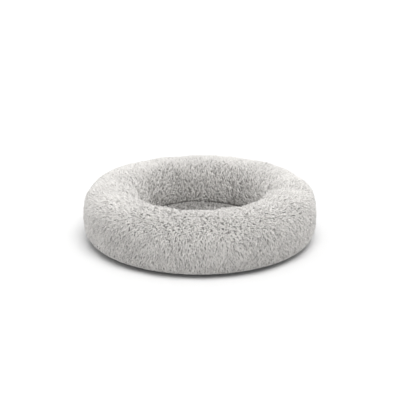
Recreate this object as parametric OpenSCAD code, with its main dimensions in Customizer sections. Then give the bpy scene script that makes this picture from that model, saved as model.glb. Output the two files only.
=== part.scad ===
// Round bolster bed for a cat or small dog: a fat ring cushion around a sunken sleeping well.
// Millimetres, +Z up, origin on the floor under the centre. The zip runs round the back (+Y) half.

/* [Overall] */
// Outside diameter of the bed over the pile
bed_d = 760; // [560:5:1150]
// Height of the ring's crown over the floor
bed_h = 186; // [150:1:260]
// Width of the ring from the sleeping well to the outside
ring_w = 192; // [150:1:260]
// Height of the ring's widest level
waist_z = 78; // [66:1:100]
// Squareness of the ring's section above its waist
crown_power = 2.7; // [2:0.1:4]
// Squareness of the ring's section below its waist
foot_power = 3; // [2.5:0.1:4]

/* [Cover] */
// Depth of the faux fur, pile and backing together
pile = 15; // [8:0.5:20]
// Thickness of the woven base panel
base_t = 1.2; // [0.6:0.1:2]
// Gap that the layers inside one another keep
lay_gap = 0.8; // [0.6:0.1:1.5]
// Inward place of the base seam, from the bed's outside to the fabric under it
seam_in = 40; // [36:1:48]
// Half width of the folded binding on the base seam
binding_w = 3; // [2:0.5:5]
// Thickness of the folded binding
binding_t = 2.4; // [1:0.1:3]

/* [Filling] */
// Thickness of the inner liners
liner_t = 1; // [0.4:0.1:2]
// Height of the centre pad at its edge
pad_edge_z = 43; // [30:1:60]
// Rise of the centre pad from its edge to its middle
pad_crown = 10; // [4:1:18]
// Thickness of the bound seam between the ring's fur and the well's fur
crease_t = 2; // [1:0.1:3]
// Width of the bound seam between the ring's fur and the well's fur
crease_w = 10; // [6:1:14]

/* [Grip] */
// Diameter of a grip dot
dot_d = 12; // [6:1:16]
// Height of a grip dot
dot_h = 1.2; // [0.8:0.1:2]
// Distance between neighbouring grip dots
dot_pitch = 64; // [45:1:76]
// Rings of grip dots round the middle one
dot_rings = 4; // [2:1:5]

/* [Zip] */
// Angle of the back half that the zip runs through
zip_span = 172; // [120:1:174]
// Width of one tape beside its coil
tape_w = 10; // [6:0.5:14]
// Thickness of a tape
tape_t = 0.8; // [0.4:0.1:1]
// Width of one coil row
coil_w = 2.4; // [1.5:0.1:3]
// Thickness of a coil row
coil_t = 2.4; // [1.5:0.1:3]
// Gap between the two coil rows, where the slider's post runs
coil_gap = 1.2; // [0.8:0.1:2]
// Length of the slider
slider_l = 14; // [10:1:20]
// Thickness of the slider's plates
plate_t = 1; // [0.6:0.1:1.4]
// Running clearance between the slider and the chain
run_gap = 0.3; // [0.2:0.05:0.4]
// Length of the pull from its pin to its tip
pull_l = 26; // [18:1:32]
// Width of the pull
pull_w = 7; // [6:0.5:9]
// Thickness of the pull
pull_t = 1.3; // [0.8:0.1:1.6]
// Diameter of the pull's pin
pin_d = 1.8; // [1.2:0.1:2]
// Width of the slider's lug
lug_w = 2.2; // [1.6:0.1:3]

/* [Label] */
// Width of the care label
label_w = 28; // [15:1:40]
// Length of the care label under the base
label_l = 45; // [25:1:60]
// Thickness of the care label
label_t = 0.35; // [0.2:0.05:0.5]

/* [Hidden] */
$fn = 96;

ring_r = bed_d / 2 - ring_w / 2;
base_top = dot_h + base_t;
fur_bottom = 1;
steps = 44;

// Curves of the ring's section: [half width, height over the waist, depth under the waist]
pile_curve = [ring_w / 2, bed_h - waist_z, waist_z - fur_bottom];
cloth_curve = [ring_w / 2 - pile, bed_h - waist_z - pile, waist_z - base_top];

// The same curve moved inwards by a distance
function inside(curve, by) = [curve[0] - by, curve[1] - by, curve[2] - by];

// Beside the seam
tape_edge = coil_gap / 2 + coil_w + tape_w;
edge_gap = 0.4;
rim_u = tape_edge + edge_gap;

// Through the slider and its pull
plate_in = coil_t / 2 + run_gap;
plate_out = plate_in + plate_t;
pin_gap = 0.1;
pin_v = plate_out + pin_d / 2 + 0.5;
lug_r = pin_d / 2 + pin_gap + 1;

// The base seam stands off the cloth by the slider's inner half
seam_x = (bed_d / 2 - seam_in - ring_r) / cloth_curve[0];
seam_off = plate_out + 0.5;

// Place of the base seam for a squareness of the section: [radius, height, slope]
function seam_place(power) =
    let (
        depth = cloth_curve[2] * pow(1 - pow(seam_x, power), 1 / power),
        slope = atan(
            cloth_curve[2] / cloth_curve[0] * pow(seam_x, power - 1)
            * pow(1 - pow(seam_x, power), 1 / power - 1)
        )
    )
    [
        ring_r + cloth_curve[0] * seam_x + seam_off * sin(slope),
        waist_z - depth - seam_off * cos(slope),
        slope
    ];

// Room under the base panel's rim and under the slider's lug for a place of the seam
function seam_room(place) = min(
    place[1] - (rim_u + 0.5) * sin(place[2]) - base_t / 2 * cos(place[2]) - dot_h,
    place[1] - pin_v * cos(place[2]) - lug_r - 1
);

// Squareness under the waist: rounder than foot_power where a seam further in needs the height
function foot_for(low, high, n = 20) =
    let (mid = (low + high) / 2)
    n == 0 ? low
    : seam_room(seam_place(mid)) < 0 ? foot_for(low, mid, n - 1)
    : foot_for(mid, high, n - 1);
foot = seam_room(seam_place(foot_power)) < 0 ? foot_for(1.4, foot_power) : foot_power;

// The base seam lies on a cone that touches the cloth curve at this place and slope
seam = seam_place(foot);
seam_r = seam[0];
seam_z = seam[1];
seam_slope = seam[2];

// Point of a section curve at an angle, 0 outside, 90 at the crown, 180 in the well
function on_curve(curve, t) =
    let (c = cos(t), s = sin(t), power = s >= 0 ? crown_power : foot)
    [
        ring_r + curve[0] * sign(c) * pow(abs(c), 2 / power),
        waist_z + (s >= 0 ? curve[1] : curve[2]) * sign(s) * pow(abs(s), 2 / power)
    ];

// Points of a section curve between two angles
function stretch(curve, from, to, n = steps) =
    [for (i = [0:n]) on_curve(curve, from + (to - from) * i / n)];

// Angle at which the inner side of a curve stands at a height under the waist
function inner_angle(curve, z) = 180 + asin(pow((waist_z - z) / curve[2], foot / 2));

// Radius of the inner side of a curve at a height under the waist
function inner_radius(curve, z) = on_curve(curve, inner_angle(curve, z))[0];

// Point of the seam's cone: u runs inwards and down along it, v points out of the bed
function on_seam(u, v) = [
    seam_r - u * cos(seam_slope) + v * sin(seam_slope),
    seam_z - u * sin(seam_slope) - v * cos(seam_slope)
];
function u_of(p) = -(p[0] - seam_r) * cos(seam_slope) - (p[1] - seam_z) * sin(seam_slope);
function v_of(p) = (p[0] - seam_r) * sin(seam_slope) - (p[1] - seam_z) * cos(seam_slope);

// Angles at which a curve crosses a given u, or a given v below the seam, by halving
function cross_u(curve, u, low = -90, high = 0, n = 24) =
    let (mid = (low + high) / 2)
    n == 0 ? mid
    : u_of(on_curve(curve, mid)) > u ? cross_u(curve, u, mid, high, n - 1)
    : cross_u(curve, u, low, mid, n - 1);
function cross_v(curve, v, low, high, n = 24) =
    let (mid = (low + high) / 2)
    n == 0 ? mid
    : v_of(on_curve(curve, mid)) < v ? cross_v(curve, v, mid, high, n - 1)
    : cross_v(curve, v, low, mid, n - 1);

// Round the seam
front_start = 180;
front_span = 180;
zip_start = 90 - zip_span / 2;

// Levels and gaps in the well
well_gap = 0.3;
crease_z = pad_edge_z + pad_crown / 6 + crease_t + 0.5;
pad_wall = [cloth_curve[0] + lay_gap, cloth_curve[1], cloth_curve[2]];
pad_side_z = 14;

// Slider and pull
slider_span = slider_l / seam_r * 180 / PI;
stop_span = 0.6;
tab_span = 2.5;
tab_clear = 0.1;
coil_start = zip_start + tab_span;
coil_span = zip_span - 2 * tab_span;
slider_rest = coil_start + 2 * stop_span + slider_span;
slider_half = coil_gap / 2 + coil_w + run_gap + 1.3;

module ring_arc(start, span, points) {
    rotate([0, 0, start])
        rotate_extrude(angle = span)
            polygon(points);
}

module seam_arc(start, span, points) {
    ring_arc(start, span, [for (p = points) on_seam(p[0], p[1])]);
}

// Places its children on the seam's cone: X along u, Y round the bed, Z out of it
module on_zip(angle) {
    rotate([0, 0, angle])
        translate([seam_r, 0, seam_z])
            rotate([0, 180 - seam_slope, 0])
                children();
}

function box_points(u0, u1, v0, v1) = [[u0, v0], [u1, v0], [u1, v1], [u0, v1]];

// Fur over a quarter of the front half, with its pile hanging over the base seam
module front_fur(start) {
    toe_v = binding_t / 2 + edge_gap;
    hem_u = -binding_w - edge_gap;
    toe = cross_v(pile_curve, toe_v, -90, cross_u(pile_curve, 0));
    color("gainsboro")
        ring_arc(start, 90, concat(
            stretch(pile_curve, toe, inner_angle(pile_curve, crease_z)),
            stretch(cloth_curve, inner_angle(cloth_curve, crease_z), cross_u(cloth_curve, hem_u)),
            [on_seam(hem_u, toe_v)]
        ));
}

// Fur over a quarter of the back half, cut back to the edge of the zip's outer tape
module back_fur(start) {
    hem_u = -rim_u;
    color("gainsboro")
        ring_arc(start, 90, concat(
            stretch(pile_curve, cross_u(pile_curve, hem_u), inner_angle(pile_curve, crease_z)),
            stretch(cloth_curve, inner_angle(cloth_curve, crease_z), cross_u(cloth_curve, hem_u))
        ));
}

module fur_panel_back_right() {
    back_fur(0);
}

module fur_panel_back_left() {
    back_fur(90);
}

module fur_panel_front_left() {
    front_fur(180);
}

module fur_panel_front_right() {
    front_fur(270);
}

// Height of the centre pad's top at a radius
pad_r = inner_radius(pad_wall, pad_edge_z);
function pad_top(r) = pad_edge_z + pad_crown * (1 - pow(r / pad_r, 2));

// Crowned fur disc on the centre pad
module well_panel() {
    edge_z = pad_edge_z + lay_gap + pile - 1;
    r = inner_radius(pile_curve, edge_z) - well_gap;
    n = 12;
    under = [for (i = [0:n]) [r * i / n, pad_top(r * i / n) + lay_gap]];
    over = [for (i = [n:-1:0]) [r * i / n, pad_top(r * i / n) + lay_gap + pile - 1]];
    color("lightgray")
        rotate_extrude()
            polygon(concat(under, over));
}

// Bound seam in the crease, where the ring's fur meets the well's fur
module crease_binding() {
    r = inner_radius(cloth_curve, crease_z) - lay_gap;
    color("darkgray")
        translate([0, 0, crease_z - 0.3 - crease_t])
            rotate_extrude()
                translate([r - crease_w, 0])
                    square([crease_w - 1, crease_t]);
}

// Flat disc with a rim that climbs to the seam, cut back where the zip runs
module base_panel() {
    half = base_t / 2;
    low_u = (seam_z - half * cos(seam_slope) - dot_h) / sin(seam_slope);
    high_u = (seam_z + half * cos(seam_slope) - base_top) / sin(seam_slope);
    front_u = binding_w + edge_gap;
    color("dimgray") {
        rotate_extrude()
            polygon([
                [0, dot_h], on_seam(low_u, half), on_seam(rim_u, half),
                on_seam(rim_u, -half), on_seam(high_u, -half), [0, base_top]
            ]);
        seam_arc(front_start, front_span, box_points(front_u, rim_u + 1, -half, half));
    }
}

// Folded binding over the base seam, round the front half
module base_binding() {
    color("darkslategray")
        seam_arc(front_start, front_span,
            box_points(-binding_w, binding_w, -binding_t / 2, binding_t / 2));
}

// Rubber dots under the base, in rings of six round the middle one
module grip_dots() {
    color("black")
        for (q = [-dot_rings:dot_rings], s = [-dot_rings:dot_rings])
            if (abs(q + s) <= dot_rings)
                translate([dot_pitch * (q + s / 2), dot_pitch * s * sqrt(3) / 2, 0])
                    cylinder(d = dot_d, h = dot_h, $fn = 48);
}

// Upper and lower halves of the ring's inner liner, sewn together at the waist
module bolster_liner(from) {
    outer = inside(cloth_curve, lay_gap);
    color("whitesmoke")
        rotate_extrude()
            polygon(concat(
                stretch(outer, from, from + 180),
                stretch(inside(outer, liner_t), from + 180, from)
            ));
}

module bolster_liner_upper() {
    bolster_liner(0);
}

module bolster_liner_lower() {
    bolster_liner(180);
}

// Fibre in the ring
module bolster_fill() {
    curve = inside(cloth_curve, 2 * lay_gap + liner_t);
    color("white")
        rotate_extrude()
            polygon(stretch(curve, 0, 360, 2 * steps));
}

// Outline of the centre pad moved inwards by a distance, from its bottom middle to its top middle
function pad_outline(by, low, high) =
    let (
        n = 10,
        side = [for (i = [0:n]) pad_side_z + (pad_edge_z - by - pad_side_z) * i / n],
        edge = inner_radius(pad_wall, pad_edge_z) - lay_gap - by - 1
    )
    concat(
        low ? [
            [0, base_top + lay_gap + by],
            [inner_radius(pad_wall, pad_side_z) - lay_gap - by - 3, base_top + lay_gap + by]
        ] : [],
        low ? [for (z = side) if (z <= pad_seam_z) [inner_radius(pad_wall, z) - lay_gap - by - 1, z]] : [],
        [[inner_radius(pad_wall, pad_seam_z) - lay_gap - by - 1, pad_seam_z]],
        high ? [for (z = side) if (z > pad_seam_z + 0.01)
            [inner_radius(pad_wall, z) - lay_gap - by - 1, z]] : [],
        high ? [for (i = [n - 1:-1:0]) [edge * i / n, pad_top(edge * i / n) - by]] : []
    );
pad_seam_z = (pad_side_z + pad_edge_z) / 2 + 0.4;

function reversed(points) = [for (i = [len(points) - 1:-1:0]) points[i]];

// Upper and lower halves of the centre pad's liner
module pad_liner(low, high) {
    color("whitesmoke")
        rotate_extrude()
            polygon(concat(
                pad_outline(0, low, high),
                reversed(pad_outline(liner_t, low, high))
            ));
}

module pad_liner_upper() {
    pad_liner(false, true);
}

module pad_liner_lower() {
    pad_liner(true, false);
}

// Fibre in the centre pad
module pad_fill() {
    color("white")
        rotate_extrude()
            polygon(pad_outline(liner_t + lay_gap, true, true));
}

// One tape of the zip, outside (-1) or inside (1) its chain
module zip_tape(side) {
    near = coil_gap / 2 + coil_w;
    u = [side * near, side * tape_edge];
    color("slategray")
        seam_arc(zip_start, zip_span, box_points(min(u), max(u), -tape_t / 2, tape_t / 2));
}

module zip_tape_outer() {
    zip_tape(-1);
}

module zip_tape_inner() {
    zip_tape(1);
}

// One row of the zip's coil
module zip_coil(side) {
    u = [side * coil_gap / 2, side * (coil_gap / 2 + coil_w)];
    color("gray")
        seam_arc(coil_start, coil_span, box_points(min(u), max(u), -coil_t / 2, coil_t / 2));
}

module zip_coil_outer() {
    zip_coil(-1);
}

module zip_coil_inner() {
    zip_coil(1);
}

// Metal stop clamped over the chain's end
module zip_stop(start) {
    half = coil_gap / 2 + coil_w;
    color("silver")
        seam_arc(start, stop_span, box_points(-half, half, coil_t / 2, coil_t / 2 + 0.6));
}

module zip_top_stop() {
    zip_stop(coil_start);
}

module zip_bottom_stop() {
    zip_stop(coil_start + coil_span - stop_span);
}

// Cloth tab sewn over the zip's end, from the end of the binding
module zip_end_tab(start, end) {
    color("dimgray")
        seam_arc(start, end - start,
            box_points(-tape_edge + 1, tape_edge - 1, tape_t / 2, tape_t / 2 + 0.8));
}

module zip_end_tab_right() {
    zip_end_tab(tab_clear, zip_start + tab_span);
}

module zip_end_tab_left() {
    zip_end_tab(zip_start + zip_span - tab_span, 180 - tab_clear);
}

// Slider: two plates with turned-in lips, joined by the post between the coil rows, and a lug
module zip_slider() {
    lip = slider_half - 1.1;
    slot = tape_t / 2 + run_gap;
    post = coil_gap / 2 - run_gap;
    bite = plate_t / 2;
    start = slider_rest - slider_span / 2;
    color("silver") {
        for (side = [-1, 1]) {
            v = [side * plate_in, side * plate_out];
            seam_arc(start, slider_span, box_points(-slider_half, slider_half, min(v), max(v)));
            for (edge = [-1, 1]) {
                u = [edge * lip, edge * slider_half];
                w = [side * slot, side * (plate_in + bite)];
                seam_arc(start, slider_span, box_points(min(u), max(u), min(w), max(w)));
            }
        }
        seam_arc(slider_rest - slider_span / 6, slider_span / 3,
            box_points(-post, post, -plate_in - bite, plate_in + bite));
        on_zip(slider_rest)
            difference() {
                union() {
                    translate([-lug_w / 2, -lug_r, plate_out - bite])
                        cube([lug_w, 2 * lug_r, pin_v - plate_out + bite]);
                    translate([0, 0, pin_v])
                        rotate([0, 90, 0])
                            cylinder(r = lug_r, h = lug_w, center = true);
                }
                translate([0, 0, pin_v])
                    rotate([0, 90, 0])
                        cylinder(d = pin_d + 2 * pin_gap, h = lug_w + 2, center = true);
            }
    }
}

// Pull: a flat tab with a window for the lug and a pin across its end
module zip_pull() {
    window_w = lug_w + 0.8;
    window_l = lug_r + 1.4;
    color("silver")
        on_zip(slider_rest)
            translate([0, 0, pin_v]) {
                rotate([0, 90, 0])
                    cylinder(d = pin_d, h = pull_w - 1, center = true);
                difference() {
                    union() {
                        translate([-pull_w / 2, 0, -pull_t / 2])
                            cube([pull_w, pull_l - pull_w / 2, pull_t]);
                        translate([0, pull_l - pull_w / 2, 0])
                            cylinder(d = pull_w, h = pull_t, center = true);
                    }
                    translate([-window_w / 2, -1, -pull_t])
                        cube([window_w, window_l + 1, 2 * pull_t]);
                    translate([0, pull_l - pull_w / 2, 0])
                        cylinder(d = pull_w / 2.4, h = 2 * pull_t, center = true);
                }
            }
}

// Blank label, sewn into the base seam and lying under the base
module care_label() {
    off = base_t / 2 + 0.2;
    near = binding_w + edge_gap;
    bend = (seam_z - off * cos(seam_slope) - dot_h + 0.2) / sin(seam_slope);
    flat_r = on_seam(bend, off)[0];
    under = [0, -label_t];
    color("white")
        ring_arc(205, label_w / seam_r * 180 / PI, [
            on_seam(near, off), on_seam(bend, off),
            [flat_r - label_l + bend - near, dot_h - 0.2],
            [flat_r - label_l + bend - near, dot_h - 0.2] + under,
            on_seam(bend, off) + under,
            on_seam(near, off) + under
        ]);
}

fur_panel_front_right();
fur_panel_front_left();
fur_panel_back_left();
fur_panel_back_right();
well_panel();
crease_binding();
base_panel();
base_binding();
grip_dots();
bolster_liner_upper();
bolster_liner_lower();
bolster_fill();
pad_liner_upper();
pad_liner_lower();
pad_fill();
zip_tape_outer();
zip_tape_inner();
zip_coil_outer();
zip_coil_inner();
zip_top_stop();
zip_bottom_stop();
zip_end_tab_right();
zip_end_tab_left();
zip_slider();
zip_pull();
care_label();
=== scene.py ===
import math

import bpy
import numpy as np
from mathutils.kdtree import KDTree
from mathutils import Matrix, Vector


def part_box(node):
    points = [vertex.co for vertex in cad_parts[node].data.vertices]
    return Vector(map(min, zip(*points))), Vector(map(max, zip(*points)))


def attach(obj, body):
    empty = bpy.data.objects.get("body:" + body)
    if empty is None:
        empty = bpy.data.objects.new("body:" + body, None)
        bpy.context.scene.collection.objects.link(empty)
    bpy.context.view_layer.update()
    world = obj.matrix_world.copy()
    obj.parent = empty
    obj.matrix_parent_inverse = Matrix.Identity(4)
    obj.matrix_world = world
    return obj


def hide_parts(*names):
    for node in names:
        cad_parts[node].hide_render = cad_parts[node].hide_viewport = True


bl_info = {
    "name": "Round fur bolster bed",
    "version": (1, 0, 0),
    "blender": (4, 5, 0),
    "location": "View3D > Sidebar > Pet Bed",
    "description": "Builds a round bolster bed with its fur pile, filling, base and zip",
    "category": "Add Mesh",
}

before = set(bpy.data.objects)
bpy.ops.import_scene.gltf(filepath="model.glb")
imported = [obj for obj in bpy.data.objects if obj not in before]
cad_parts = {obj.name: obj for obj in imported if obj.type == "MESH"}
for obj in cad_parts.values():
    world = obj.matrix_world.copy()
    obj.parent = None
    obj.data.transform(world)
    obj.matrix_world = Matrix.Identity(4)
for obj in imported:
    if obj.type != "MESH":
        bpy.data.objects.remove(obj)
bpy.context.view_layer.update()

TAU = 2 * math.pi
MAP = "OFBake"
WELD = 1e-6

# Rings of points along a lock of fur, and its width at each
LEVELS = (0.0, 0.35, 0.72, 1.0)
FULLNESS = (0.85, 1.0, 0.72, 0.0)

# How a lock lies over, closes on its tuft and rises, along its length
LIE = 1.15
CLOSE = 1.8
RISE = 1.9

# Edges of the cloths beside the base seam: in the binding, and along the zip
FRONT_HEM = 0.0034
BACK_HEM = 0.0134

# Fur backing, the well's disc, and the top of the centre pad
BACKING = 0.0024
WELL_EDGE = 0.1880
PAD_EDGE = 0.043
PAD_CROWN = 0.010
PAD_REACH = 0.2050


# Sizes and colours


def number(name, description, default, low, high, **kind):
    return bpy.props.FloatProperty(
        name=name, description=description, default=default, min=low, max=high, **kind
    )


def length(name, description, default, low=0.0):
    return number(name, description, default, low, 5, unit="LENGTH", precision=5)


def turn(name, description, default):
    return bpy.props.FloatProperty(
        name=name, description=description, default=math.radians(default), subtype="ANGLE"
    )


def share(name, description, default):
    return number(name, description, default, 0, 1, subtype="FACTOR")


def paint(name, description, default):
    return bpy.props.FloatVectorProperty(
        name=name, description=description, default=default, size=3, min=0, max=1, subtype="COLOR"
    )


class RingSize(bpy.types.PropertyGroup):
    """Section of the stuffed ring, measured on the cloth under its pile"""

    middle: length("Middle radius", "Radius of the line through the ring's middle", 0.284)
    half: length("Half width", "From the middle line to the widest point", 0.081)
    above: length("Above waist", "From the waist to the crown", 0.093)
    below: length("Below waist", "From the waist to where the ring rests", 0.0756)
    waist: length("Waist height", "Height of the ring's widest level", 0.078)
    pile: length("Pile depth", "Depth of the pile and its backing", 0.015)
    foot: length("Foot depth", "Depth of the pile where the ring rests", 0.0014)
    crown_power: number("Crown power", "Squareness above the waist", 2.7, 2, 4)
    foot_power: number("Foot power", "Squareness below the waist", 3.0, 2, 4)
    crease: turn("Crease angle", "Where the ring's fur meets the well's, round the section", 195.0)


class CushionFeel(bpy.types.PropertyGroup):
    """How the filling pushes the cloth out"""

    pressure: number("Pressure", "Push of the filling on the cloth", 4.0, 0, 20)
    reach: length("Reach", "The furthest that the filling moves the cloth", 0.006)
    lump: length("Lump", "Height of the filling's lumps under the cloth", 0.0022)
    seed: bpy.props.IntProperty(name="Seed", description="Picks other lumps", default=7)


class PileLook(bpy.types.PropertyGroup):
    """Locks of the fur pile"""

    gap: length("Lock gap", "Distance between the roots of neighbouring locks", 0.0033, 0.002)
    lay: length("Lock lay", "How far a lock lies along the cloth", 0.0145)
    wide: length("Lock width", "Width of a lock where it is fullest", 0.0021)
    clump: length("Clump gap", "Distance between the tufts that locks gather into", 0.0061, 0.003)
    gather: share("Gather", "How far a lock's tip is drawn to its tuft", 0.84)
    stray: turn("Stray", "How far a lock turns out of the nap", 9)
    flow: turn("Flow", "How far the nap itself wanders", 14)
    tip: paint("Tip colour", "Colour of the pile's tips", (0.968, 0.952, 0.930))
    # Painted shade: the root colour darkens the foot of every lock, partly the pile's own darker base and
    # partly shade between the locks.
    root: paint("Root colour", "Colour at the pile's roots", (0.306, 0.294, 0.282))


class BaseSize(bpy.types.PropertyGroup):
    """Seam and cloth under the bed"""

    seam: length("Seam radius", "Radius of the base seam", 0.341511)
    height: length("Seam height", "Height of the base seam over the floor", 0.0092705)
    slope: turn("Seam slope", "Slope of the cone that the seam lies on", 30.2376)
    cloth: length("Cloth", "Thickness of the base cloth", 0.0012)
    dot: length("Dot width", "Width of a grip dot", 0.012)
    dot_height: length("Dot height", "Height of a grip dot", 0.0012)
    dot_pitch: length("Dot pitch", "Distance between neighbouring dots", 0.064)
    colour: paint("Base colour", "Colour of the woven base", (0.060, 0.061, 0.066))
    trim: paint("Trim colour", "Colour of the folded binding", (0.085, 0.085, 0.090))


class ZipSize(bpy.types.PropertyGroup):
    """Zip round the back of the base seam"""

    start: turn("Start", "Angle at which the tapes start", 4)
    span: turn("Span", "Angle that the tapes run through", 172)
    tape: length("Tape width", "Width of a tape beside its coil", 0.010)
    coil: length("Coil width", "Width of one coil row", 0.0024)
    gap: length("Coil gap", "Gap between the coil rows", 0.0012)
    pitch: length("Coil pitch", "Distance between neighbouring loops of a coil", 0.0016, 0.0008)
    colour: paint("Tape colour", "Colour of the tapes and coils", (0.150, 0.155, 0.165))


class StageLook(bpy.types.PropertyGroup):
    """Floor, lights and camera"""

    distance: length("Distance", "From the bed's middle to the camera", 3.5)
    rise: turn("Rise", "Height of the camera over the horizon", 19.64)
    drop: turn("Drop", "How far above the bed's middle the camera looks", 0.53)
    floor: paint("Floor colour", "Colour of the floor", (0.73, 0.73, 0.73))
    lens: number("Lens", "Focal length in millimetres", 96.9, 20, 200)


GROUPS = {
    "bed_ring": RingSize,
    "bed_feel": CushionFeel,
    "bed_pile": PileLook,
    "bed_base": BaseSize,
    "bed_zip": ZipSize,
    "bed_stage": StageLook,
}


def sizes(name):
    return getattr(bpy.context.scene, name)


# Materials


def socket_name(key):
    return key.replace("_", " ").title().replace("Ior", "IOR")


def fill_ramp(ramp, stops):
    while len(ramp.elements) < len(stops):
        ramp.elements.new(0.5)
    for element, (place, colour) in zip(ramp.elements, stops):
        element.position = place
        element.color = (*colour, 1)

class Value:
    """A socket whose sums become Math nodes"""

    def __init__(self, finish, socket):
        self.finish = finish
        self.socket = socket

    def of(self, name):
        return Value(self.finish, self.socket.node.outputs[name])

    def sum(self, operation, *parts):
        return self.finish.add("ShaderNodeMath", {"operation": operation}, dict(enumerate(parts)))

    def __add__(self, other):
        return self.sum("ADD", self, other)

    def __radd__(self, other):
        return self.sum("ADD", other, self)

    def __sub__(self, other):
        return self.sum("SUBTRACT", self, other)

    def __rsub__(self, other):
        return self.sum("SUBTRACT", other, self)

    def __mul__(self, other):
        return self.sum("MULTIPLY", self, other)


    def wave(self):
        return self.sum("SINE", self) * 0.5 + 0.5

    def over(self, other):
        return self.sum("GREATER_THAN", self, other)

    def top(self, other):
        return self.sum("MAXIMUM", self, other)

    def cut(self):
        return self.sum("MINIMUM", self.sum("MAXIMUM", self, 0.0), 1.0)


class Finish:
    """A material made of nodes, with a shader that its parts feed"""

    def __init__(self, name, **constants):
        self.material = bpy.data.materials.new(name)
        self.material.use_nodes = True
        self.tree = self.material.node_tree
        self.tree.nodes.clear()
        self.shader = self.tree.nodes.new("ShaderNodeBsdfPrincipled")
        out = self.tree.nodes.new("ShaderNodeOutputMaterial")
        self.tree.links.new(self.shader.outputs[0], out.inputs["Surface"])
        for key, value in constants.items():
            self.shader.inputs[socket_name(key)].default_value = value

    def add(self, kind, settings=None, values=None, out=0):
        node = self.tree.nodes.new(kind)
        for key, value in (settings or {}).items():
            setattr(node, key, value)
        for key, value in (values or {}).items():
            self.feed(node.inputs[key], value)
        return Value(self, node.outputs[out])

    def feed(self, socket, value):
        if isinstance(value, Value):
            self.tree.links.new(value.socket, socket)
        elif socket.type == "RGBA":
            socket.default_value = (*value, 1)
        else:
            socket.default_value = value

    def place(self):
        return self.add("ShaderNodeTexCoord").of("Object")

    def scaled(self, where, by):
        return self.add("ShaderNodeVectorMath", {"operation": "SCALE"}, {0: where, "Scale": by})

    def stretched(self, where, by):
        return self.add("ShaderNodeMapping", {}, {0: where, "Scale": by})

    def noise(self, where, scale, detail=2.0, rough=0.5):
        values = {"Vector": where, "Scale": scale, "Detail": detail, "Roughness": rough}
        return self.add("ShaderNodeTexNoise", {}, values)

    def mix(self, factor, a, b, how="MIX"):
        settings = {"data_type": "RGBA", "blend_type": how}
        return self.add("ShaderNodeMix", settings, {0: factor, 6: a, 7: b}, 2)

    def ramp(self, factor, stops):
        made = self.add("ShaderNodeValToRGB", {}, {0: factor})
        fill_ramp(made.socket.node.color_ramp, stops)
        return made

    def split(self, vector):
        return self.add("ShaderNodeSeparateXYZ", {}, {0: vector})

    def bump(self, height, deep):
        return self.add("ShaderNodeBump", {}, {"Height": height, "Distance": deep, "Strength": 1.0})

    def wear(self, **parts):
        for key, value in parts.items():
            self.feed(self.shader.inputs[socket_name(key)], value)
        return self.material


def tint(colour, by):
    return tuple(min(1.0, c * by) for c in colour)


def pile_finish(name, look, lift=1.0):
    """Fur: dark at the roots, partly the pile's own darker base and partly painted shade between the locks,
    pale at the tips, with locks that differ at random and carry painted light from the ring
    """
    f = Finish(name, sheen_weight=0.1, sheen_roughness=0.5, specular_ior_level=0.22)
    tone_and_light = f.split(f.add("ShaderNodeUVMap", {"uv_map": MAP}))
    along = tone_and_light.of("Y")
    streaks = f.add("ShaderNodeCombineXYZ", {}, {0: tone_and_light * 260.0, 1: along * 2.2})
    fine = f.add("ShaderNodeTexNoise", {"noise_dimensions": "2D"}, {"Vector": streaks, "Scale": 1.0})
    # Painted shade: the dark root stops stand partly for the pile's own darker base and partly for shade deep
    # between the locks.
    stops = [
        (0.10, tint(look.root, 0.7 * lift)),
        (0.38, tint(look.root, 1.5 * lift)),
        (0.62, tint(look.tip, 0.94 * lift)),
        (1.0, tint(look.tip, lift)),
    ]
    # Painted light: the lock values carry a painted highlight on the ring's crest and painted shade low on
    # its outer wall, besides their random spread; the extra rise above 0.65 makes the palest locks, most of
    # them on the crest, paler still.
    base = f.ramp(along + (fine - 0.5) * 0.2 + tone_and_light * 0.22 + (tone_and_light - 0.65).top(0.0) * 0.9, stops)
    # Painted light and shade: this multiplier dims locks with low values, so it carries the same painted
    # shade and highlight, with a slight warm tint.
    dim_and_tint = f.mix(tone_and_light, (0.74, 0.735, 0.735), (1.0, 0.998, 0.993))
    colour = f.mix(1.0, base, dim_and_tint, "MULTIPLY")
    colour = f.mix((fine * 0.16).cut(), colour, (0.20, 0.19, 0.18))
    return f.wear(base_color=colour, roughness=0.86 - along * 0.16)


def skin_finish(name, look):
    """Knitted backing that the pile stands in, with the stubble between the locks, coloured from the dark
    root colour as painted shade at the foot of the pile
    """
    f = Finish(name, roughness=0.9, sheen_weight=0.15)
    at = f.place()
    stub = f.noise(at, 420.0, 3.0, 0.65)
    knit = f.split(f.scaled(at, 2600.0))
    loops = knit.wave() * knit.of("Z").wave()
    # Painted shade: the backing is coloured from the dark root colour, as shade at the foot of the pile.
    colour = f.mix(stub, tint(look.root, 0.62), tint(look.root, 1.75))
    return f.wear(base_color=colour, normal=f.bump(stub + loops * 0.3, 0.0009))


def woven_finish(name, colour, threads, deep, rough, spread, twill=False):
    """Basket or twill weave of two thread systems, with uneven yarn"""
    f = Finish(name, sheen_weight=0.05, specular_ior_level=0.25)
    at = f.place()
    ends = f.split(f.scaled(at, threads))
    across = ends
    up = ends.of("Y") + ends.of("Z") * 0.9
    if twill:
        across = ends + ends.of("Y") * 0.5
        up = ends.of("Y") - ends * 0.5 + ends.of("Z") * 0.8
    over = (((across * 0.5).wave() - 0.5) * ((up * 0.5).wave() - 0.5)).over(0.0)
    yarn = across.wave() * over + up.wave() * (1.0 - over)
    slub = f.noise(at, threads * 0.16, 3.0, 0.6)
    cloud = f.noise(at, 9.0, 3.0, 0.55)
    stops = [(0.18, tint(colour, 1 - 2 * spread)), (0.5, colour), (0.9, tint(colour, 1 + 2.2 * spread))]
    dye = f.ramp((yarn * 0.5 + slub * 0.35 + cloud * 0.25).cut(), stops)
    matt = (rough + (slub - 0.5) * 0.2).cut()
    return f.wear(base_color=dye, roughness=matt, normal=f.bump(yarn + slub * 0.4, deep))


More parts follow.
